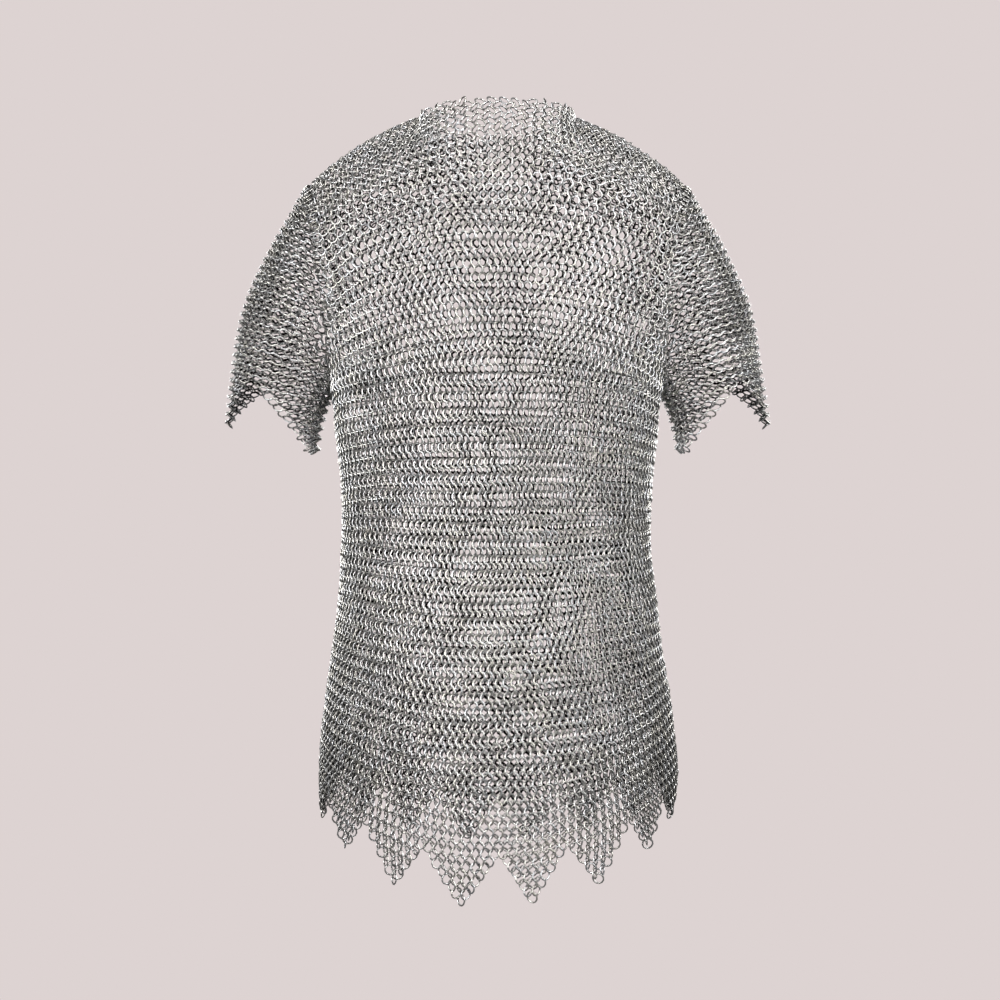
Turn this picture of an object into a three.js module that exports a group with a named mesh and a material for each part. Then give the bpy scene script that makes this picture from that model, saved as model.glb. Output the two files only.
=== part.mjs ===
import * as THREE from 'three';

// Short-sleeved mail hauberk in the hollow form it takes when it is worn, in millimetres, +Z up.
// Its front faces -Y. The origin is the middle of the neck opening, level with its side edges,
// where the garment rests on the shoulders.
// Each panel is a sheet of mail: a wall as thick as the leaning rings, worked out row by row.
// Ring rows run level round the body and are counted from the neck down, columns from the centre out.

const wallThickness = 4;
const seamGap = 0.4;

const neckRow = 0;
const armpitRow = 37;
const hemNotchRow = 101;
const hemPointRow = 108.6;
const yokeRows = 12;
const columnsToSide = 32;
const columnsPerHemPoint = 8;

const neck = { halfWidth: 82, halfDepth: 76, frontZ: -5, sideZ: -2 };
const neckShareOfTopLine = 7 / 16;
const shoulderTop = { x: 204, z: -86 };
const ridgeCurve = { straightShare: 0.62, roundShare: 0.38 };
const armpit = { x: 176, z: -303 };
const armhole = { halfDepth: 54, upperFullness: 10, inwardBow: 9, topCrowding: 1.08, evenness: 0.15 };

const bodySections = makeTable(
  ['row', 'frontDepth', 'backDepth', 'centreZ', 'spread', 'sag'],
  [
    [0, 76, 76, -5, -0.06, 0.9],
    [6, 104, 98, -44, -0.05, 0.9],
    [12, 119, 112, -84, -0.06, 0.9],
    [20, 127, 119, -142, -0.12, 1.0],
    [28, 130, 119, -207, -0.14, 1.2],
    [34, 128, 113, -257, -0.18, 1.3],
    [37, 126, 110, -282, -0.2, 1.4],
    [42, 120, 104, -324, -0.22, 1.4],
    [50, 110, 95, -390, -0.24, 1.4],
    [60, 105, 90, -471, -0.22, 1.5],
    [75, 120, 103, -587, -0.14, 1.6],
    [90, 134, 118, -693, -0.08, 1.7],
    [101, 139, 126, -765, -0.03, 1.7],
    [109, 140, 128, -819, -0.03, 1.7],
  ],
);

const sideLine = makeTable(
  ['row', 'x', 'z'],
  [
    [37, 176, -303],
    [39, 173, -318],
    [42, 171, -343],
    [50, 165, -397],
    [60, 163, -461],
    [75, 171.5, -562],
    [90, 184.5, -652],
    [101, 190, -709],
    [109, 187, -752],
  ],
);

const sleeveSections = makeTable(
  ['along', 'outerX', 'outerZ', 'innerX', 'innerZ', 'halfDepth', 'upperFullness', 'inwardBow'],
  [
    [0, 204, -86, 176, -303, 54, 10, 9],
    [0.25, 240, -143, 181.5, -314, 64, 7, 5],
    [0.5, 268, -205, 185, -329, 65, 4, 2],
    [0.75, 283, -270, 188.5, -346, 61, 2, 0],
    [1, 291.5, -338, 191.5, -366, 57, 0, 0],
  ],
);

const ridgeRounding = 1.5;
const cuffNotch = { step: 4, share: 0.27 };
const acrossSteps = 32;
const armholeSteps = 12;
const sleeveSteps = 8;
const skirtRows = [39.5, 44, 50, 56, 62, 68, 74, 80, 86, 92];
const hemSteps = 2;

const mailColour = 0xb9b6b0;

function makeTable(columns, values) {
  const table = {};
  columns.forEach((name, index) => {
    table[name] = values.map((row) => row[index]);
  });
  table.key = table[columns[0]];
  return table;
}

// A smooth curve through one column of a table: cubic pieces whose slopes come from the neighbours.
function readTable(table, name, at) {
  const keys = table.key;
  const values = table[name];
  const last = keys.length - 1;
  let index = 0;
  while (index < last - 1 && at > keys[index + 1]) {
    index += 1;
  }
  const slope = (i) => {
    const before = Math.max(i - 1, 0);
    const after = Math.min(i + 1, last);
    return (values[after] - values[before]) / (keys[after] - keys[before]);
  };
  const span = keys[index + 1] - keys[index];
  const t = (at - keys[index]) / span;
  const smooth = t * t * (3 - 2 * t);
  const rising = t * (1 - t) * (1 - t) * span * slope(index);
  const falling = t * t * (1 - t) * span * slope(index + 1);
  return values[index] * (1 - smooth) + values[index + 1] * smooth + rising - falling;
}

// Where a body row meets the armhole, as an angle from the shoulder (0) to the armpit (half a turn).
function armholeAngle(row) {
  const share = (row / armpitRow) ** armhole.topCrowding;
  return Math.PI * share + armhole.evenness * Math.sin(2 * Math.PI * share);
}

// The egg-shaped armhole; depth is positive towards the front.
function armholePoint(angle) {
  const sine = Math.sin(angle);
  const towardsTop = (1 + Math.cos(angle)) / 2;
  const x = armpit.x + (shoulderTop.x - armpit.x) * towardsTop;
  return {
    x: x - armhole.inwardBow * sine * sine,
    depth: armhole.halfDepth * sine + armhole.upperFullness * Math.sin(2 * angle),
    z: armpit.z + (shoulderTop.z - armpit.z) * towardsTop,
  };
}

// The outer end of a body row: on the armhole above the armpit and on the side line below it.
function rowEnd(row) {
  if (row < armpitRow) {
    return armholePoint(armholeAngle(row));
  }
  return { x: readTable(sideLine, 'x', row), depth: 0, z: readTable(sideLine, 'z', row) };
}

// One row of the body is part of an ellipse seen from above, and sags or rises towards its end.
function sectionPoint(depthColumn, row, share) {
  const depth = readTable(bodySections, depthColumn, row);
  const end = rowEnd(row);
  const endCosine = end.depth / depth;
  const endAngle = Math.acos(endCosine);
  const halfWidth = end.x / Math.sin(endAngle);
  const spread = readTable(bodySections, 'spread', row);
  const angle = endAngle * share + (spread / 2) * Math.sin(Math.PI * share);
  const nearness = Math.max((Math.cos(angle) - endCosine) / (1 - endCosine), 0);
  const rise = nearness ** readTable(bodySections, 'sag', row);
  return {
    x: halfWidth * Math.sin(angle),
    depth: depth * Math.cos(angle),
    z: end.z + (readTable(bodySections, 'centreZ', row) - end.z) * rise,
  };
}

// The top line of a panel: a quarter of the neck ellipse, then the shoulder ridge to the armhole.
function topLinePoint(share) {
  if (share <= neckShareOfTopLine) {
    const angle = (Math.PI / 2) * (share / neckShareOfTopLine);
    const toSide = 1 - Math.cos(angle);
    return {
      x: neck.halfWidth * Math.sin(angle),
      depth: neck.halfDepth * Math.cos(angle),
      z: neck.frontZ + (neck.sideZ - neck.frontZ) * toSide,
    };
  }
  const out = (share - neckShareOfTopLine) / (1 - neckShareOfTopLine);
  const fall = ridgeCurve.straightShare * out + ridgeCurve.roundShare * out ** 3;
  return {
    x: neck.halfWidth + (shoulderTop.x - neck.halfWidth) * out,
    depth: 0,
    z: neck.sideZ + (shoulderTop.z - neck.sideZ) * fall,
  };
}

// Any point of a body panel. In the yoke the top line draws the rows up to the neck and the ridge.
function bodyPoint(panel, row, across) {
  const share = Math.abs(across);
  const point = sectionPoint(panel.depthColumn, row, share);
  if (row < yokeRows) {
    const fromTop = row / yokeRows;
    const top = topLinePoint(share);
    const plainTop = sectionPoint(panel.depthColumn, neckRow, share);
    point.x += (top.x - plainTop.x) * (1 - fromTop);
    point.depth += (top.depth - plainTop.depth) * (1 - fromTop);
    point.z += (top.z - plainTop.z) * (1 - fromTop ** ridgeRounding);
  }
  const y = panel.facing * (point.depth + seamGap / 2);
  return new THREE.Vector3(Math.sign(across) * point.x, y, point.z);
}

// Each panel's hem hangs in eight points; a point loses one ring in every row.
function hemRow(across) {
  const column = Math.abs(across) * columnsToSide;
  const half = columnsPerHemPoint / 2;
  const fromTip = Math.abs((column % columnsPerHemPoint) - half);
  return hemPointRow - (hemPointRow - hemNotchRow) * (fromTip / half);
}

// The sleeve is a tube: an egg-shaped ring at each step, between its outer and its underarm line.
function sleevePoint(side, angle, along) {
  const read = (name) => readTable(sleeveSections, name, along);
  const sine = Math.sin(angle);
  const towardsOuter = (1 + Math.cos(angle)) / 2;
  const x = read('innerX') + (read('outerX') - read('innerX')) * towardsOuter;
  const depth = read('halfDepth') * sine + read('upperFullness') * Math.sin(2 * angle);
  const z = read('innerZ') + (read('outerZ') - read('innerZ')) * towardsOuter;
  return new THREE.Vector3(side * (x - read('inwardBow') * sine * sine + seamGap), -depth, z);
}

// The cuff has a point at the outer and at the underarm line and a notch in front and behind.
function cuffAlong(step) {
  const half = Math.min(step, 2 * armholeSteps - step);
  const toOuter = half / cuffNotch.step;
  const toInner = (armholeSteps - half) / (armholeSteps - cuffNotch.step);
  return 1 - cuffNotch.share * Math.min(toOuter, toInner);
}

// At the armhole both walls end square to the seam, so this direction serves the body and the sleeve.
function armholeOutward(angle) {
  const step = 0.001;
  const before = armholePoint(angle - step);
  const after = armholePoint(angle + step);
  return new THREE.Vector3(0, after.z - before.z, after.depth - before.depth).normalize();
}

// Outward direction at each point of a grid, from its neighbours down and across.
function gridNormals(grid, closedAcross) {
  const lastRow = grid.length - 1;
  const count = grid[0].length;
  return grid.map((line, i) => line.map((point, j) => {
    const above = grid[Math.max(i - 1, 0)][j];
    const below = grid[Math.min(i + 1, lastRow)][j];
    const left = closedAcross ? line[(j + count - 1) % count] : line[Math.max(j - 1, 0)];
    const right = closedAcross ? line[(j + 1) % count] : line[Math.min(j + 1, count - 1)];
    const down = new THREE.Vector3().subVectors(below, above);
    const across = new THREE.Vector3().subVectors(right, left);
    return down.cross(across).normalize();
  }));
}

// A closed wall: the grid moved out and in by half the thickness, and joined along its open edges.
function wallGeometry(grid, normals, closedAcross) {
  const rowCount = grid.length;
  const count = grid[0].length;
  const positions = [];
  for (const offset of [wallThickness / 2, -wallThickness / 2]) {
    for (let i = 0; i < rowCount; i += 1) {
      for (let j = 0; j < count; j += 1) {
        const point = grid[i][j].clone().addScaledVector(normals[i][j], offset);
        positions.push(point.x, point.y, point.z);
      }
    }
  }
  const outer = (i, j) => i * count + (j % count);
  const inner = (i, j) => rowCount * count + outer(i, j);
  const triangles = [];
  const addQuad = (a, b, c, d) => triangles.push(a, b, c, a, c, d);
  const spans = closedAcross ? count : count - 1;
  for (let j = 0; j < spans; j += 1) {
    for (let i = 0; i < rowCount - 1; i += 1) {
      addQuad(outer(i, j), outer(i + 1, j), outer(i + 1, j + 1), outer(i, j + 1));
      addQuad(inner(i, j), inner(i, j + 1), inner(i + 1, j + 1), inner(i + 1, j));
    }
    const end = rowCount - 1;
    addQuad(outer(0, j), outer(0, j + 1), inner(0, j + 1), inner(0, j));
    addQuad(outer(end, j + 1), outer(end, j), inner(end, j), inner(end, j + 1));
  }
  if (!closedAcross) {
    const side = count - 1;
    for (let i = 0; i < rowCount - 1; i += 1) {
      addQuad(outer(i + 1, 0), outer(i, 0), inner(i, 0), inner(i + 1, 0));
      addQuad(outer(i, side), outer(i + 1, side), inner(i + 1, side), inner(i, side));
    }
  }
  const geometry = new THREE.BufferGeometry();
  geometry.setAttribute('position', new THREE.Float32BufferAttribute(positions, 3));
  geometry.setIndex(triangles);
  geometry.computeVertexNormals();
  return geometry;
}

// The rows at which a panel is sampled, from the neck to the hem points of this column.
function panelRows(across) {
  const rows = [];
  for (let i = 0; i <= armholeSteps; i += 1) {
    rows.push((armpitRow * i) / armholeSteps);
  }
  rows.push(...skirtRows);
  const lastPlain = skirtRows[skirtRows.length - 1];
  for (let i = 1; i <= hemSteps; i += 1) {
    rows.push(lastPlain + ((hemRow(across) - lastPlain) * i) / hemSteps);
  }
  return rows;
}

function panelGeometry(panel) {
  const columns = [];
  for (let j = 0; j <= acrossSteps; j += 1) {
    const across = -panel.facing * (-1 + (2 * j) / acrossSteps);
    columns.push(panelRows(across).map((row) => bodyPoint(panel, row, across)));
  }
  const rowCount = columns[0].length;
  const grid = [];
  for (let i = 0; i < rowCount; i += 1) {
    grid.push(columns.map((column) => column[i]));
  }
  const normals = gridNormals(grid, false);
  normals.forEach((line, i) => {
    line.forEach((normal, j) => {
      const share = Math.abs(-1 + (2 * j) / acrossSteps);
      const onRidge = i === 0 && share >= neckShareOfTopLine;
      if (share === 1 && i <= armholeSteps) {
        const outward = armholeOutward(armholeAngle((armpitRow * i) / armholeSteps));
        normal.set(0, -panel.facing * outward.y, outward.z);
      } else if (share === 1 || onRidge) {
        normal.setY(0).normalize();
      }
    });
  });
  return wallGeometry(grid, normals, false);
}

function sleeveGeometry(side) {
  const angles = [];
  const steps = [];
  for (let j = 0; j < 2 * armholeSteps; j += 1) {
    const step = side > 0 ? 2 * armholeSteps - j : j;
    const half = Math.min(step, 2 * armholeSteps - step);
    const angle = armholeAngle((armpitRow * half) / armholeSteps);
    angles.push(step <= armholeSteps ? angle : 2 * Math.PI - angle);
    steps.push(step);
  }
  const grid = [];
  for (let i = 0; i <= sleeveSteps; i += 1) {
    grid.push(angles.map((angle, j) => sleevePoint(side, angle, (i / sleeveSteps) * cuffAlong(steps[j]))));
  }
  const normals = gridNormals(grid, true);
  normals[0].forEach((normal, j) => normal.copy(armholeOutward(angles[j])));
  return wallGeometry(grid, normals, true);
}

function mailMesh(name, geometry) {
  const material = new THREE.MeshStandardMaterial({ color: mailColour, metalness: 1, roughness: 0.32 });
  const mesh = new THREE.Mesh(geometry, material);
  mesh.name = name;
  return mesh;
}

const hauberk = new THREE.Group();
hauberk.add(mailMesh('front_panel', panelGeometry({ depthColumn: 'frontDepth', facing: -1 })));
hauberk.add(mailMesh('back_panel', panelGeometry({ depthColumn: 'backDepth', facing: 1 })));
hauberk.add(mailMesh('left_sleeve', sleeveGeometry(1)));
hauberk.add(mailMesh('right_sleeve', sleeveGeometry(-1)));

export default hauberk;
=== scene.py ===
import bpy
import mathutils
import numpy as np
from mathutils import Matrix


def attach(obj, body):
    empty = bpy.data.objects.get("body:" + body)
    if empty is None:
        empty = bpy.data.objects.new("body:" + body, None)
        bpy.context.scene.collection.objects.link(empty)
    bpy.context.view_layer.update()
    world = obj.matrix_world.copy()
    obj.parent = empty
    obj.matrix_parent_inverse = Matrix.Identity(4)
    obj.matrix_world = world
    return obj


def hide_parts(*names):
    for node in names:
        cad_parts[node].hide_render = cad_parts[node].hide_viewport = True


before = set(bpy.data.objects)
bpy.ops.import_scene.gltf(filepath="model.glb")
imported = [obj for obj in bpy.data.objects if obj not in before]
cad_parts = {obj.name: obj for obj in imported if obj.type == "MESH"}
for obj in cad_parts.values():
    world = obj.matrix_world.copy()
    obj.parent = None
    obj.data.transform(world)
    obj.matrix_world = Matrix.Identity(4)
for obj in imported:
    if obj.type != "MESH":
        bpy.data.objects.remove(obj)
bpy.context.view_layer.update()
print("frame loaded:", ", ".join(sorted(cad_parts)))

# Sizes are in millimetres until a mesh is made, +Z up, and the shirt's front faces -Y.
millimetre = 0.001
rng = np.random.default_rng(13)


def makeTable(names, rows):
    # Named columns of a short table; the first column is also its key.
    values = np.array(rows, float)
    table = {name: values[:, i] for i, name in enumerate(names)}
    table["key"] = values[:, 0]
    return table


def readTable(table, name, at):
    # A smooth curve through one column: cubic pieces whose slopes come from the neighbours.
    keys, values = table["key"], table[name]
    slopes = np.empty(len(keys))
    slopes[1:-1] = (values[2:] - values[:-2]) / (keys[2:] - keys[:-2])
    slopes[0] = (values[1] - values[0]) / (keys[1] - keys[0])
    slopes[-1] = (values[-1] - values[-2]) / (keys[-1] - keys[-2])
    i = np.searchsorted(keys[1:-1], at)
    span = keys[i + 1] - keys[i]
    t = (at - keys[i]) / span
    smooth = t * t * (3 - 2 * t)
    bend = t * (1 - t) * span * ((1 - t) * slopes[i] - t * slopes[i + 1])
    return values[i] * (1 - smooth) + values[i + 1] * smooth + bend


# Butted mail: round rings of zinc-plated steel wire, each linked with four others.
ringStock = {
    "insideDiameter": 9.0,
    "wire": 1.6,
    "stepsRound": 11,
    "wireSides": 3,
    "facetSwell": 1.21,  # a three-sided wire is drawn this much wider, to look as thick as a round one
    "leanAtPitch": (6.3, 42.0),  # where rings stand 6.3 mm apart in a row they lean 42 degrees,
    "leanLossPerMillimetre": 3.0,  # and this much less for each millimetre more
    "leanRange": (16.0, 52.0),
    "unevenLean": 3.0,  # degrees, one standard deviation
    "unevenTurn": 2.5,
    "unevenPlace": 0.16,  # mm
    "flatPitch": 8.4,  # between rings of a row, and between rows, when a sheet is laid out flat
    "flatRow": 6.9,
}

# Mail never hangs quite evenly: rings wander along and up the cloth and in and out of it, and lean
# more in one place than in another.
wander = {
    "waves": 9,
    "shortest": 70.0,  # mm from crest to crest
    "longest": 240.0,
    "along": 1.1,  # mm
    "up": 1.0,
    "out": 0.9,
    "lean": 4.5,  # degrees
}
wanderTurn = rng.normal(size=(4, wander["waves"], 3))
wanderLength = rng.uniform(wander["shortest"], wander["longest"], (4, wander["waves"], 1))
wanderPhase = rng.uniform(0, 2 * np.pi, (4, wander["waves"]))

# The body in its worn form. Ring rows run level round it and are counted from the neck down,
# columns from the centre out. Depths are from the side seams, before and behind.
bodyShape = {
    "seamGap": 0.4,
    "armpitRow": 37,
    "yokeRows": 12,
    "shoulderTop": (204.0, -86.0),
    "armpit": (176.0, -303.0),
    "armholeHalfDepth": 54.0,
    "armholeUpperFullness": 10.0,  # mm deeper than an ellipse in its upper half, and shallower below
    "armholeInwardBow": 9.0,  # mm that it bows towards the neck, before and behind
    "armholeTopCrowding": 1.08,
    "armholeEvenness": 0.15,
    "neckHalfWidth": 82.0,
    "neckHalfDepth": 76.0,
    "neckFrontZ": -5.0,
    "neckSideZ": -5.0,
    "neckShareOfTopLine": 7 / 16,  # the rest of a panel's top line is the shoulder ridge
    "ridgeStraightShare": 0.62,
    "ridgeRoundShare": 0.38,
    "ridgeRounding": 1.5,
    "sections": makeTable(
        ["row", "frontDepth", "backDepth", "centreZ", "spread", "sag"],
        [
            [0, 76, 76, -5, -0.06, 0.9],
            [6, 104, 98, -44, -0.05, 0.9],
            [12, 119, 112, -84, -0.06, 0.9],
            [20, 127, 119, -142, -0.12, 1.0],
            [28, 130, 119, -207, -0.14, 1.2],
            [34, 128, 113, -257, -0.18, 1.3],
            [37, 126, 110, -282, -0.2, 1.4],
            [42, 120, 104, -324, -0.22, 1.4],
            [50, 110, 95, -390, -0.24, 1.4],
            [60, 105, 90, -471, -0.22, 1.5],
            [75, 120, 103, -587, -0.14, 1.6],
            [90, 134, 118, -693, -0.08, 1.7],
            [101, 139, 126, -765, -0.03, 1.7],
            [109, 140, 128, -819, -0.03, 1.7],
        ],
    ),
    "sideLine": makeTable(
        ["row", "x", "z"],
        [
            [37, 176, -303],
            [39, 173, -318],
            [42, 171, -343],
            [50, 165, -397],
            [60, 163, -461],
            [75, 171.5, -562],
            [90, 184.5, -652],
            [101, 190, -709],
            [109, 187, -752],
        ],
    ),
}

# How the rings of the body are laid out in that form.
bodyWeave = {
    "columnsToSide": 32,
    "columnsPerHemPoint": 8,
    "hemNotchRow": 101,
    "hemPointRow": 108,
    "ridgeRow": -5,  # the neck cuts through the rows above 0, which only the shoulders have
    "firstRow": 0.6,  # rows, from the neck's edge to the middle of the first ring that it keeps
    "edgeClearance": 0.3,  # of a column, between the last ring and the armhole
    "placeRounds": 6,  # in which a ring's place on the surface settles
    "columnsToArmhole": makeTable(
        ["row", "columns"],
        [
            [0, 24],
            [6, 21.8],
            [12, 20.8],
            [20, 22],
            [28, 25.2],
            [34, 28.8],
            [37, 32],
            [41, 32],
            [109, 32],
        ],
    ),
}


def armholeAngle(row):
    # From the shoulder (0) to the armpit (half a turn), for a body row above the armpit.
    armpitRow = bodyShape["armpitRow"]
    share = (np.clip(row, 0, armpitRow) / armpitRow) ** bodyShape["armholeTopCrowding"]
    return np.pi * share + bodyShape["armholeEvenness"] * np.sin(2 * np.pi * share)


def armholePoint(angle):
    # An egg-shaped curve: half a turn of cosine from the shoulder to the armpit, sine forwards.
    (topX, topZ), (lowX, lowZ) = bodyShape["shoulderTop"], bodyShape["armpit"]
    towardsTop = (1 + np.cos(angle)) / 2
    x = lowX + (topX - lowX) * towardsTop - bodyShape["armholeInwardBow"] * np.sin(angle) ** 2
    halfDepth, fullness = bodyShape["armholeHalfDepth"], bodyShape["armholeUpperFullness"]
    depth = halfDepth * np.sin(angle) + fullness * np.sin(2 * angle)
    return x, depth, lowZ + (topZ - lowZ) * towardsTop


def rowEnd(row):
    # The outer end of a row: on the armhole above the armpit and on the side line below it.
    x, depth, z = armholePoint(armholeAngle(row))
    below = row >= bodyShape["armpitRow"]
    side = np.maximum(row, bodyShape["armpitRow"])
    sideX, sideZ = (readTable(bodyShape["sideLine"], name, side) for name in ("x", "z"))
    return np.where(below, sideX, x), np.where(below, 0, depth), np.where(below, sideZ, z)


def sectionPoint(depthColumn, row, share):
    # Part of an ellipse seen from above; its height goes from the centre's to the end's.
    sections = bodyShape["sections"]
    depth = readTable(sections, depthColumn, row)
    endX, endDepth, endZ = rowEnd(row)
    endCosine = endDepth / depth
    endAngle = np.arccos(endCosine)
    angle = endAngle * share + readTable(sections, "spread", row) / 2 * np.sin(np.pi * share)
    nearness = np.maximum((np.cos(angle) - endCosine) / (1 - endCosine), 0)
    rise = nearness ** readTable(sections, "sag", row)
    z = endZ + (readTable(sections, "centreZ", row) - endZ) * rise
    return endX / np.sin(endAngle) * np.sin(angle), depth * np.cos(angle), z


def topLine(share):
    # A quarter of the neck ellipse, then the shoulder ridge out to the armhole.
    neckShare = bodyShape["neckShareOfTopLine"]
    halfWidth, frontZ, sideZ = (bodyShape[name] for name in ("neckHalfWidth", "neckFrontZ", "neckSideZ"))
    shoulderX, shoulderZ = bodyShape["shoulderTop"]
    angle = np.pi / 2 * np.minimum(share / neckShare, 1)
    out = np.maximum(share - neckShare, 0) / (1 - neckShare)
    fall = bodyShape["ridgeStraightShare"] * out + bodyShape["ridgeRoundShare"] * out**3
    neckZ = frontZ + (sideZ - frontZ) * (1 - np.cos(angle))
    x = halfWidth * np.sin(angle) + (shoulderX - halfWidth) * out
    return x, bodyShape["neckHalfDepth"] * np.cos(angle), neckZ + (shoulderZ - sideZ) * fall


def bodySurface(panel, row, across):
    # The section's point; above the yoke's last row the top line draws it up to neck and ridge.
    share = np.abs(across)
    x, depth, z = sectionPoint(panel["depthColumn"], row, share)
    plainX, plainDepth, plainZ = sectionPoint(panel["depthColumn"], np.zeros_like(row), share)
    topX, topDepth, topZ = topLine(share)
    fromTop = np.clip(row / bodyShape["yokeRows"], 0, 1)
    x = x + (topX - plainX) * (1 - fromTop)
    depth = depth + (topDepth - plainDepth) * (1 - fromTop)
    z = z + (topZ - plainZ) * (1 - fromTop ** bodyShape["ridgeRounding"])
    y = panel["facing"] * (depth + bodyShape["seamGap"] / 2)
    return np.stack([np.sign(across) * x, y, z], -1)


def yokeLift(share):
    # The row where the top line lies: 0 at the centre, then up to the ridge row at the neck's side.
    t = np.clip(share / bodyShape["neckShareOfTopLine"], 0, 1)
    return bodyWeave["ridgeRow"] * t * t * (3 - 2 * t)


def bodyPlace(row, column):
    # Where ring row and column lie on the surface, as its own row and share across. The yoke's rows
    # are spread evenly below the top line, and its height and their columns depend on each other.
    yokeRows = bodyShape["yokeRows"]
    onRow = np.maximum(row, 0.0)
    for _ in range(bodyWeave["placeRounds"]):
        columns = readTable(bodyWeave["columnsToArmhole"], "columns", onRow)
        columns = np.minimum(columns, bodyWeave["columnsToSide"])
        top = yokeLift(np.abs(column) / columns)
        spread = np.maximum(yokeRows * (row - top) / (yokeRows - top), 0)
        onRow = np.where(row < yokeRows, spread, row)
    return onRow, column / columns, top, columns


def unit(vectors):
    # The same directions, with a length of one.
    return vectors / np.linalg.norm(vectors, axis=-1, keepdims=True)


def clothFrame(surface, row, column, step=0.25):
    # At each ring place, from differences: unit vectors along the row, up the cloth and outwards,
    # and the pitch along the row.
    alongRow = (surface(row, column + step) - surface(row, column - step)) / (2 * step)
    upCloth = (surface(row - step, column) - surface(row + step, column)) / (2 * step)
    pitch = np.linalg.norm(alongRow, axis=-1)
    along = alongRow / pitch[:, None]
    outwards = unit(np.cross(along, upCloth))
    up = np.cross(outwards, along)
    return {
        "centres": surface(row, column), "along": along, "up": up, "outwards": outwards,
        "pitch": pitch, "row": row,
    }


def wanderAt(centres):
    # Four sums of waves, for along, up, out and lean. Each wave has its own direction through
    # space, and a sum is about 1 high.
    fronts = 2 * np.pi * unit(wanderTurn) / wanderLength
    heights = np.sin(np.einsum("pi,kwi->kpw", centres, fronts) + wanderPhase[:, None])
    return heights.sum(-1) * np.sqrt(2 / wander["waves"])


def ringPoints(cloth, leanSign):
    # Each ring is a circle in the plane of up and of the row's own direction, which leans in or out
    # of the cloth. Its wire is a small circle carried round it. Rows lean to opposite sides in turn.
    # With each point goes how squarely the wire there faces into the shirt, from -1 to 1; the material
    # paints shade from it.
    centres, along, up, outwards = (cloth[name] for name in ("centres", "along", "up", "outwards"))
    count = len(centres)
    pitchStart, leanStart = ringStock["leanAtPitch"]
    driftAlong, driftUp, driftOut, driftLean = wanderAt(centres)
    lean = leanStart - ringStock["leanLossPerMillimetre"] * (cloth["pitch"] - pitchStart)
    lean = lean + cloth.get("moreLean", 0) + wander["lean"] * driftLean
    lean = np.clip(lean, *ringStock["leanRange"]) * leanSign
    lean = np.radians(lean + rng.normal(0, ringStock["unevenLean"], count))
    turn, nod = np.radians(rng.normal(0, ringStock["unevenTurn"], (2, count, 1)))
    across = along * np.cos(lean)[:, None] + outwards * np.sin(lean)[:, None]
    across = unit(across + up * turn)
    rise = unit(up - across * np.sum(up * across, -1, keepdims=True) + outwards * nod)
    rise = unit(rise - across * np.sum(rise * across, -1, keepdims=True))
    axis = np.cross(across, rise)
    centres = centres + rng.normal(0, ringStock["unevenPlace"], (count, 3))
    centres = centres + along * (wander["along"] * driftAlong)[:, None]
    centres = centres + up * (wander["up"] * driftUp)[:, None]
    centres = centres + outwards * (wander["out"] * driftOut)[:, None]

    wireRadius = ringStock["wire"] / 2
    ringRadius = ringStock["insideDiameter"] / 2 + wireRadius
    steps, sides = ringStock["stepsRound"], ringStock["wireSides"]
    ringAngle = 2 * np.pi * np.arange(steps) / steps + rng.uniform(0, 2 * np.pi, (count, 1))
    ringAngle = ringAngle[..., None]
    radial = across[:, None] * np.cos(ringAngle) + rise[:, None] * np.sin(ringAngle)
    wireAngle = 2 * np.pi * np.arange(sides) / sides
    wireOut = wireRadius * ringStock["facetSwell"] * np.cos(wireAngle)
    wireUp = wireRadius * ringStock["facetSwell"] * np.sin(wireAngle)
    offsets = radial[:, :, None] * wireOut[:, None] + axis[:, None, None] * wireUp[:, None]
    inwards = -np.sum(unit(offsets) * outwards[:, None, None], -1)
    return centres[:, None, None] + radial[:, :, None] * ringRadius + offsets, inwards


def ringMesh(name, points, inwards):
    # Joins each ring's points into four-cornered faces, with a map that runs round ring and wire.
    count, steps, sides = points.shape[:3]
    mesh = bpy.data.meshes.new(name)
    mesh.vertices.add(count * steps * sides)
    mesh.vertices.foreach_set("co", (points * millimetre).astype(np.float32).ravel())
    index = np.arange(count * steps * sides).reshape(count, steps, sides)
    nextStep, nextSide = np.roll(index, -1, 1), np.roll(index, -1, 2)
    corners = np.stack([index, nextStep, np.roll(nextStep, -1, 2), nextSide], -1)
    mesh.loops.add(corners.size)
    mesh.loops.foreach_set("vertex_index", corners.astype(np.int32).ravel())
    mesh.polygons.add(corners.size // 4)
    mesh.polygons.foreach_set("loop_start", np.arange(0, corners.size, 4, dtype=np.int32))
    mesh.polygons.foreach_set("use_smooth", np.ones(corners.size // 4, bool))
    u, v = np.meshgrid(np.arange(steps), np.arange(sides), indexing="ij")
    cornerU = np.stack([u, u + 1, u + 1, u], -1) / steps
    cornerV = np.stack([v, v, v + 1, v + 1], -1) / sides
    uv = np.broadcast_to(np.stack([cornerU, cornerV], -1), (count, steps, sides, 4, 2))
    layer = mesh.uv_layers.new(name="ring")
    layer.data.foreach_set("uv", uv.astype(np.float32).ravel())
    tint = np.broadcast_to(rng.random(count)[:, None, None], (count, steps, sides))
    for attributeName, values in (("ringTint", tint), ("inwards", inwards)):
        attribute = mesh.attributes.new(attributeName, "FLOAT", "POINT")
        attribute.data.foreach_set("value", values.astype(np.float32).ravel())
    mesh.update(calc_edges=True)
    mesh.validate()
    return mesh


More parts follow.
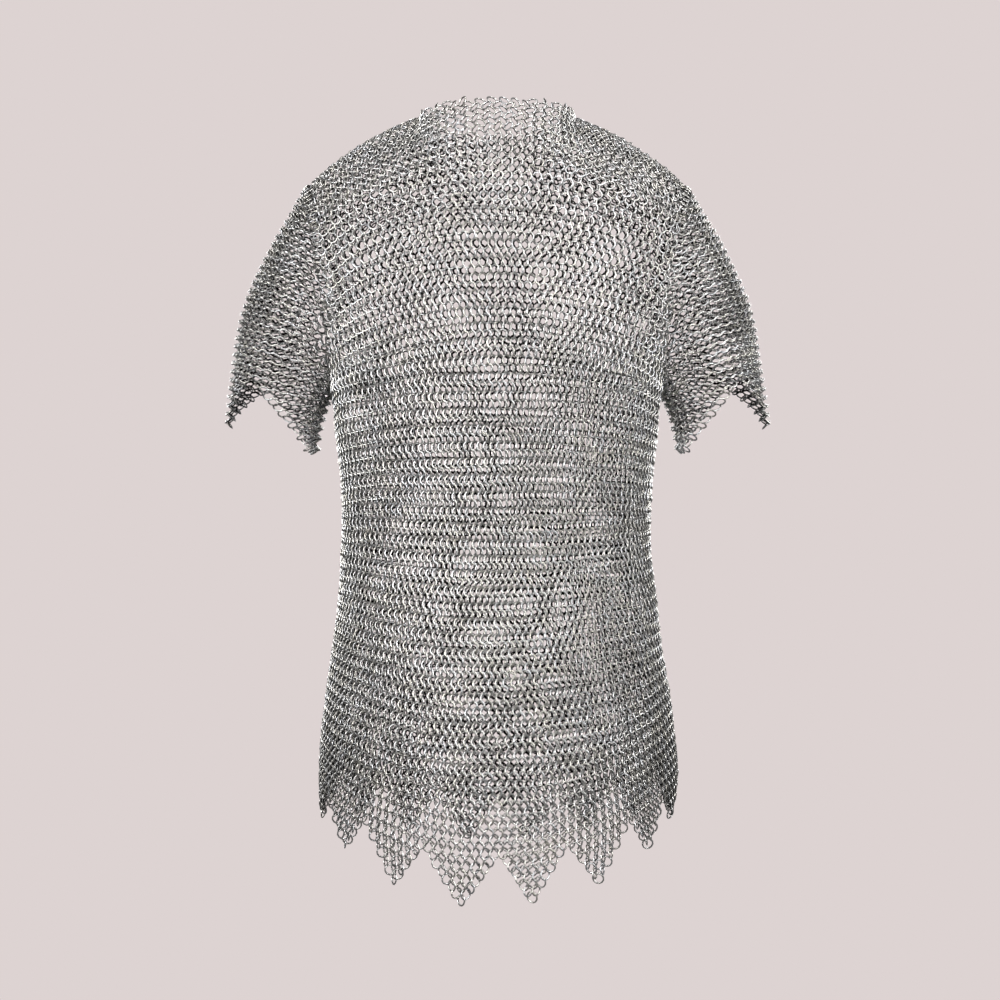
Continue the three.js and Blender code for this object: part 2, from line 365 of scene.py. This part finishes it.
def addMail(name, node, cloths):
    # One sheet of mail as a piece of the shirt: its own weave first, then any row that joins it on.
    woven = [ringPoints(cloth, leanSign) for cloth, leanSign in cloths]
    points, inwards = (np.concatenate(parts) for parts in zip(*woven))
    ringsInRow = np.unique(cloths[0][0]["row"], return_counts=True)[1]

    piece = bpy.data.objects.new(name, ringMesh(name, points, inwards))
    bpy.context.scene.collection.objects.link(piece)
    piece.data.materials.append(mailMaterial)
    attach(piece, "root")
    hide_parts(node)
    return len(points)


def hexColour(text):
    # An sRGB hex value as linear red, green, blue and alpha.
    channels = np.array([int(text[i : i + 2], 16) for i in (1, 3, 5)]) / 255
    linear = np.where(channels <= 0.04045, channels / 12.92, ((channels + 0.055) / 1.055) ** 2.4)
    return (*linear, 1.0)


def addNode(tree, kind, settings=None, **inputs):
    # One node with its settings; an input is a value, or another node's output to link.
    node = tree.nodes.new(kind)
    for key, value in (settings or {}).items():
        setattr(node, key, value)
    for key, value in inputs.items():
        socket = node.inputs[int(key[1:])] if key[1:].isdigit() else node.inputs[key.replace("_", " ")]
        if isinstance(value, bpy.types.NodeSocket):
            tree.links.new(value, socket)
        else:
            socket.default_value = value
    return node


# Zinc-plated steel wire, drawn, wound and cut: a satin grey metal, each ring a little warmer or
# cooler than the next, with a cloudy bloom on the plating and a dark hairline where its ends butt.
mailFinish = {
    "coolZinc": "#D6D7DA",
    "warmZinc": "#DAD6CD",
    "dullZinc": "#B4B2AE",
    "joint": "#2B2A29",
    "paintedInnerShade": "#1D1B19",  # painted shade: the side of the wire that faces into the shirt is painted near black
    "paintedInnerShadeRange": (-0.28, 0.28),  # how squarely it faces inwards where the painted shade starts and is full
    "jointShare": 0.012,  # of the way round a ring; the real cut is finer
    "cloudSize": 34.0,  # mm
    "cloudDetail": 3.0,
    "cloudRange": (0.42, 0.72),  # of the noise, from a clear place to the fullest bloom
    "fullBloom": 0.6,
    "drawMarkSize": 0.35,  # mm; real draw marks are finer and would not show
    "drawMarkDetail": 2.0,
    "drawMarkRange": (0.3, 0.7),  # of the noise, from polished to dull
    "drawMarkDepth": 0.05,  # mm
    "drawMarkStrength": 0.25,
    "polished": 0.24,
    "dull": 0.42,
}


def makeMailMaterial():
    # Ring tint, bloom, painted shade on the inner side and joint are laid over each other in that order,
    # and fine draw marks roughen the metal.
    material = bpy.data.materials.new("zinc_plated_drawn_steel_wire")
    material.use_nodes = True
    tree = material.node_tree
    tree.nodes.clear()
    place = addNode(tree, "ShaderNodeTexCoord").outputs["Object"]
    ringMap = addNode(tree, "ShaderNodeUVMap", {"uv_map": "ring"}).outputs["UV"]
    tint = addNode(tree, "ShaderNodeAttribute", {"attribute_name": "ringTint"}).outputs["Fac"]
    cloud = addNode(
        tree, "ShaderNodeTexNoise", Vector=place,
        Scale=1 / (mailFinish["cloudSize"] * millimetre), Detail=mailFinish["cloudDetail"],
    ).outputs["Fac"]
    zinc = addNode(
        tree, "ShaderNodeMix", {"data_type": "RGBA"},
        _0=tint, _6=hexColour(mailFinish["coolZinc"]), _7=hexColour(mailFinish["warmZinc"]),
    ).outputs[2]
    bloom = addNode(
        tree, "ShaderNodeMapRange", Value=cloud, From_Min=mailFinish["cloudRange"][0],
        From_Max=mailFinish["cloudRange"][1], To_Min=0.0, To_Max=mailFinish["fullBloom"],
    ).outputs["Result"]
    clouded = addNode(
        tree, "ShaderNodeMix", {"data_type": "RGBA"},
        _0=bloom, _6=zinc, _7=hexColour(mailFinish["dullZinc"]),
    ).outputs[2]
    # Painted shade: the more squarely the wire faces into the shirt, the nearer its colour goes to near
    # black.
    inwards = addNode(tree, "ShaderNodeAttribute", {"attribute_name": "inwards"}).outputs["Fac"]
    paintedInnerShade = addNode(
        tree, "ShaderNodeMapRange", {"interpolation_type": "SMOOTHSTEP"}, Value=inwards,
        From_Min=mailFinish["paintedInnerShadeRange"][0], From_Max=mailFinish["paintedInnerShadeRange"][1],
        To_Min=0.0, To_Max=1.0,
    ).outputs["Result"]
    innerShadedColour = addNode(
        tree, "ShaderNodeMix", {"data_type": "RGBA"},
        _0=paintedInnerShade, _6=clouded, _7=hexColour(mailFinish["paintedInnerShade"]),
    ).outputs[2]
    roundRing = addNode(tree, "ShaderNodeSeparateXYZ", Vector=ringMap).outputs["X"]
    joint = addNode(
        tree, "ShaderNodeMath", {"operation": "LESS_THAN"}, _0=roundRing, _1=mailFinish["jointShare"]
    ).outputs["Value"]
    colour = addNode(
        tree, "ShaderNodeMix", {"data_type": "RGBA"},
        _0=joint, _6=innerShadedColour, _7=hexColour(mailFinish["joint"]),
    ).outputs[2]
    drawMarks = addNode(
        tree, "ShaderNodeTexNoise", Vector=place,
        Scale=1 / (mailFinish["drawMarkSize"] * millimetre), Detail=mailFinish["drawMarkDetail"],
    ).outputs["Fac"]
    roughness = addNode(
        tree, "ShaderNodeMapRange", Value=drawMarks, From_Min=mailFinish["drawMarkRange"][0],
        From_Max=mailFinish["drawMarkRange"][1],
        To_Min=mailFinish["polished"], To_Max=mailFinish["dull"],
    ).outputs["Result"]
    relief = addNode(
        tree, "ShaderNodeBump", Height=drawMarks, Strength=mailFinish["drawMarkStrength"],
        Distance=mailFinish["drawMarkDepth"] * millimetre,
    ).outputs["Normal"]
    shader = addNode(
        tree, "ShaderNodeBsdfPrincipled",
        Base_Color=colour, Metallic=1.0, Roughness=roughness, Normal=relief,
    ).outputs["BSDF"]
    addNode(tree, "ShaderNodeOutputMaterial", Surface=shader)
    return material


mailMaterial = makeMailMaterial()
print("mail finish made")


def hemKeeps(row, column):
    # Eight points hang along each panel's hem; a point loses one ring in every row.
    halfPoint = bodyWeave["columnsPerHemPoint"] / 2
    fromTip = np.abs(np.abs(column) % bodyWeave["columnsPerHemPoint"] - halfPoint)
    return (row <= bodyWeave["hemNotchRow"]) | (fromTip <= (bodyWeave["hemPointRow"] - row) / 2)


def bodyRings(panel, firstRow, lastRow):
    # All ring places of a panel between two rows: whole columns on even rows, half ones on odd rows.
    # They end at the neck's edge, the hem and the armhole. The ridge row has its shoulders alone.
    side = bodyWeave["columnsToSide"]
    rows, columns = [], []
    for row in range(firstRow, lastRow + 1):
        across = np.arange(-side, side + 1.0) if row % 2 == 0 else np.arange(-side, side) + 0.5
        rows.append(np.full(len(across), float(row)))
        columns.append(across)
    row, column = np.concatenate(rows), np.concatenate(columns)
    _, share, top, columnCount = bodyPlace(row, column)
    onRidge = row == bodyWeave["ridgeRow"]
    onShoulder = np.abs(share) >= bodyShape["neckShareOfTopLine"]
    keep = np.where(onRidge, onShoulder, row >= top + bodyWeave["firstRow"]) & hemKeeps(row, column)
    lastColumn = columnCount - bodyWeave["edgeClearance"]
    keep &= (row >= bodyShape["armpitRow"]) | (np.abs(column) <= lastColumn)
    if panel["sharesEdges"]:  # the other panel has the rings of the ridge and of the side lines
        keep &= ~onRidge & (np.abs(column) < side)
    return row[keep], column[keep]


def bodyMail(panel, firstRow, lastRow):
    # Going round the body, a row runs to +X before and to -X behind, so that leans match at the sides.
    goingRound = -panel["facing"]

    def surface(row, column):
        onRow, share, _, _ = bodyPlace(row, goingRound * column)
        return bodySurface(panel, onRow, share)

    row, column = bodyRings(panel, firstRow, lastRow)
    leanSign = np.where(row == bodyWeave["ridgeRow"], 0, np.where(row % 2 == 0, 1, -1))
    return clothFrame(surface, row, column), leanSign


frontPanel = {"node": "front_panel", "depthColumn": "frontDepth", "facing": -1, "sharesEdges": False}
backPanel = {"node": "back_panel", "depthColumn": "backDepth", "facing": 1, "sharesEdges": True}
bodyStretches = {"yoke": (-5, 37), "waist": (38, 69), "skirt": (70, 108)}  # first and last row of each
ringCount = 0
for side, panel in (("front", frontPanel), ("back", backPanel)):
    for stretch, (firstRow, lastRow) in bodyStretches.items():
        cloths = [bodyMail(panel, firstRow, lastRow)]
        ringCount += addMail(f"{side}_{stretch}_mail", panel["node"], cloths)
print("body woven")

# The sleeve in its worn form: a tube whose egg-shaped sections run between its outer and underarm lines.
sleeveShape = {
    "sections": makeTable(
        ["along", "outerX", "outerZ", "innerX", "innerZ", "halfDepth", "upperFullness", "inwardBow"],
        [
            [0, 204, -86, 176, -303, 54, 10, 9],
            [0.25, 240, -143, 181.5, -314, 64, 7, 5],
            [0.5, 268, -205, 185, -329, 65, 4, 2],
            [0.75, 283, -270, 188.5, -346, 61, 2, 0],
            [1, 291.5, -338, 191.5, -366, 57, 0, 0],
        ],
    ),
    "seamGap": 0.4,
}

# Its rows run along the arm. They are counted round it from the outer line, rings from the cuff up.
sleeveWeave = {
    "rows": 60,
    "pitch": 9.0,
    "outerCrowding": 0.18,  # rows lie this much closer at the outer line, and wider at the underarm
    "notchRow": 13,  # the cuff rises half a ring a row to this row, and falls again towards the underarm
    "armholeClearance": 5.0,  # mm
    "moreLean": 14.0,  # degrees: the sleeve hangs across its rows and draws them together
    "inset": 3.0,  # mm, from the outer face of the sleeve's form to the middle of its rings,
    "insetReach": 40.0,  # reached this far from the armhole
    "seamPitch": 6.4,  # of the row that joins the sleeve to the body
    "seamSamples": 721,
    "seamLookAhead": 0.05,  # of the sleeve's length, to find which way it leaves the armhole
}


def sleeveSurface(angle, along):
    # Half a turn of cosine from the outer to the underarm line, sine forwards, on the section at along.
    outerX, outerZ, innerX, innerZ, halfDepth, fullness, bow = (
        readTable(sleeveShape["sections"], name, along)
        for name in ("outerX", "outerZ", "innerX", "innerZ", "halfDepth", "upperFullness", "inwardBow")
    )
    towardsOuter = (1 + np.cos(angle)) / 2
    x = innerX + (outerX - innerX) * towardsOuter - bow * np.sin(angle) ** 2 + sleeveShape["seamGap"]
    depth = halfDepth * np.sin(angle) + fullness * np.sin(2 * angle)
    return np.stack([x, -depth, innerZ + (outerZ - innerZ) * towardsOuter], -1)


def sleeveLength(angle, samples=17):
    # Length of the sleeve from the armhole to the cuff line at each angle.
    line = sleeveSurface(angle[:, None], np.linspace(0, 1, samples)[None, :])
    return np.linalg.norm(np.diff(line, axis=1), axis=-1).sum(1)


def sleeveAngle(row):
    # Rows are spread round the sleeve, and drawn together towards the outer line by a sine.
    turn = -2 * np.pi * row / sleeveWeave["rows"]
    return turn - sleeveWeave["outerCrowding"] * np.sin(turn)


def sleeveWoven(row, column):
    # The place of ring column of a row: that many pitches up from the cuff line.
    angle = sleeveAngle(row)
    return sleeveSurface(angle, 1 - column * sleeveWeave["pitch"] / sleeveLength(angle))


def sleeveMail():
    # Each row is filled with rings from its place on the pointed cuff up to the armhole.
    half = sleeveWeave["rows"] // 2
    notch = sleeveWeave["notchRow"]
    rows, columns = [], []
    for row in range(-half + 1, half + 1):
        fromOuter = abs(row)
        lost = fromOuter if fromOuter <= notch else max(2 * notch - fromOuter, fromOuter % 2)
        length = sleeveLength(np.array([sleeveAngle(row)]))[0]
        last = (length - sleeveWeave["armholeClearance"]) / sleeveWeave["pitch"]
        column = np.arange(lost / 2, last, 1.0)
        rows.append(np.full(len(column), float(row)))
        columns.append(column)
    row, column = np.concatenate(rows), np.concatenate(columns)
    cloth = clothFrame(sleeveWoven, row, column)
    fromArmhole = sleeveLength(sleeveAngle(row)) - column * sleeveWeave["pitch"]
    inset = sleeveWeave["inset"] * np.clip(fromArmhole / sleeveWeave["insetReach"], 0, 1)
    cloth["centres"] -= inset[:, None] * cloth["outwards"]
    return {**cloth, "moreLean": sleeveWeave["moreLean"]}, np.where(row % 2 == 0, 1, -1)


def seamMail():
    # One row of rings runs round the armhole and joins the sleeve to the body. Up is against the way
    # in which the sleeve leaves the armhole.
    fine = np.linspace(0, 2 * np.pi, sleeveWeave["seamSamples"])
    x, depth, z = armholePoint(fine)
    curve = np.stack([x + sleeveShape["seamGap"] / 2, -depth, z], -1)
    ahead = np.full_like(fine, sleeveWeave["seamLookAhead"])
    towardsCuff = sleeveSurface(fine, ahead) - sleeveSurface(fine, np.zeros_like(fine))
    run = np.concatenate([[0], np.cumsum(np.linalg.norm(np.diff(curve, axis=0), axis=-1))])
    count = round(run[-1] / sleeveWeave["seamPitch"])
    pitch = run[-1] / count
    places = pitch * np.arange(count)

    def at(distance, values):
        return np.stack([np.interp(distance % run[-1], run, values[:, i]) for i in range(3)], -1)

    along = unit(at(places + 1, curve) - at(places - 1, curve))
    up = -at(places, towardsCuff)
    up = unit(up - along * np.sum(up * along, -1, keepdims=True))
    outwards = np.cross(up, along)
    cloth = {"centres": at(places, curve), "along": along, "up": up, "outwards": outwards}
    return {**cloth, "pitch": np.full(count, pitch)}, np.ones(count)


def mirrored(cloth):
    # The same cloth on the other side of the body.
    flip = np.array([-1.0, 1, 1])
    return {**cloth, **{name: cloth[name] * flip for name in ("centres", "along", "up", "outwards")}}


for side, turn in (("left", lambda cloth: cloth), ("right", mirrored)):
    cloths = [(turn(cloth), leanSign) for cloth, leanSign in (sleeveMail(), seamMail())]
    ringCount += addMail(f"{side}_sleeve_mail", f"{side}_sleeve", cloths)
print(f"sleeves woven, {ringCount} rings in all")

# A plain pale cove all round, with its floor 1.5 m below the shoulders.
studio = {
    "coveColour": "#DDD3D2",
    "floorZ": -1500.0,
    "floorRadius": 2300.0,
    "bendRadius": 900.0,
    "bendPoints": 17,
    "turnPoints": 97,
    "wallTop": 1900.0,
    "airStrength": 0.2,
    "softboxes": {  # place, side in mm, and watts
        "key_softbox": ((-1500, -2000, 400), 1300, 66),
        "fill_softbox": ((1600, -1900, 150), 1300, 56),
        "top_softbox": ((0, -900, 1900), 1200, 30),
        "back_left_softbox": ((1100, 2200, 150), 1300, 36),
        "back_right_softbox": ((-1200, 2100, 0), 1300, 31),
    },
    "litPoint": (0, 0, -400),
}


def makeCove():
    # A profile turned about Z: the flat floor, a quarter of a circle, then the wall.
    floorRadius, bendRadius = studio["floorRadius"], studio["bendRadius"]
    bend = np.linspace(0, np.pi / 2, studio["bendPoints"])
    radius = np.concatenate([[0, floorRadius / 2], floorRadius + bendRadius * np.sin(bend)])
    height = np.concatenate([[0, 0], bendRadius * (1 - np.cos(bend))]) + studio["floorZ"]
    radius = np.append(radius, radius[-1])
    height = np.append(height, studio["wallTop"])
    turns = np.linspace(0, 2 * np.pi, studio["turnPoints"])
    radius, height, turns = np.broadcast_arrays(radius[:, None], height[:, None], turns)
    points = np.stack([radius * np.cos(turns), radius * np.sin(turns), height], -1)
    index = np.arange(turns.size).reshape(turns.shape)
    faces = np.stack([index[:-1, :-1], index[:-1, 1:], index[1:, 1:], index[1:, :-1]], -1)[:, :, ::-1]
    mesh = bpy.data.meshes.new("studio_cove")
    mesh.from_pydata((points * millimetre).reshape(-1, 3).tolist(), [], faces.reshape(-1, 4).tolist())
    mesh.polygons.foreach_set("use_smooth", np.ones(len(mesh.polygons), bool))
    cove = bpy.data.objects.new("studio_cove", mesh)
    bpy.context.scene.collection.objects.link(cove)
    material = bpy.data.materials.new("matt_painted_cove")
    material.use_nodes = True
    tree = material.node_tree
    tree.nodes.clear()
    glow = addNode(tree, "ShaderNodeEmission", Color=hexColour(studio["coveColour"])).outputs["Emission"]
    addNode(tree, "ShaderNodeOutputMaterial", Surface=glow)
    mesh.materials.append(material)
    cove.visible_glossy = False
    cove.visible_diffuse = False
    cove.visible_shadow = False


def addSoftbox(name, place, target, size, power):
    # A square area lamp at place, turned to face target.
    lamp = bpy.data.lights.new(name, "AREA")
    lamp.shape = "SQUARE"
    lamp.size = size * millimetre
    lamp.energy = power
    softbox = bpy.data.objects.new(name, lamp)
    bpy.context.scene.collection.objects.link(softbox)
    place, target = (np.array(point, float) * millimetre for point in (place, target))
    softbox.location = place
    softbox.rotation_mode = "QUATERNION"
    softbox.rotation_quaternion = mathutils.Vector(target - place).to_track_quat("-Z", "Y")


makeCove()
world = bpy.data.worlds.new("studio_air")
world.use_nodes = True
world.node_tree.nodes["Background"].inputs["Color"].default_value = (1.0, 1.0, 1.0, 1.0)
world.node_tree.nodes["Background"].inputs["Strength"].default_value = studio["airStrength"]
bpy.context.scene.world = world
for name, (place, side, power) in studio["softboxes"].items():
    addSoftbox(name, place, studio["litPoint"], side, power)
bpy.context.scene.view_settings.view_transform = "Standard"
print("studio lit")

# The photograph's view: level, from 1.5 m in front, a little to the right of the middle.
photoView = {"place": (3.24, -1500.0, -419.0), "lens": 50.0, "sensor": 36.0}
camera = bpy.data.objects.new("photo_camera", bpy.data.cameras.new("photo_camera"))
bpy.context.scene.collection.objects.link(camera)
camera.location = np.array(photoView["place"]) * millimetre
camera.rotation_euler = (np.pi / 2, 0, 0)
camera.data.lens = photoView["lens"]
camera.data.sensor_width = photoView["sensor"]
bpy.context.scene.camera = camera
print("camera set")

bpy.context.view_layer.update()
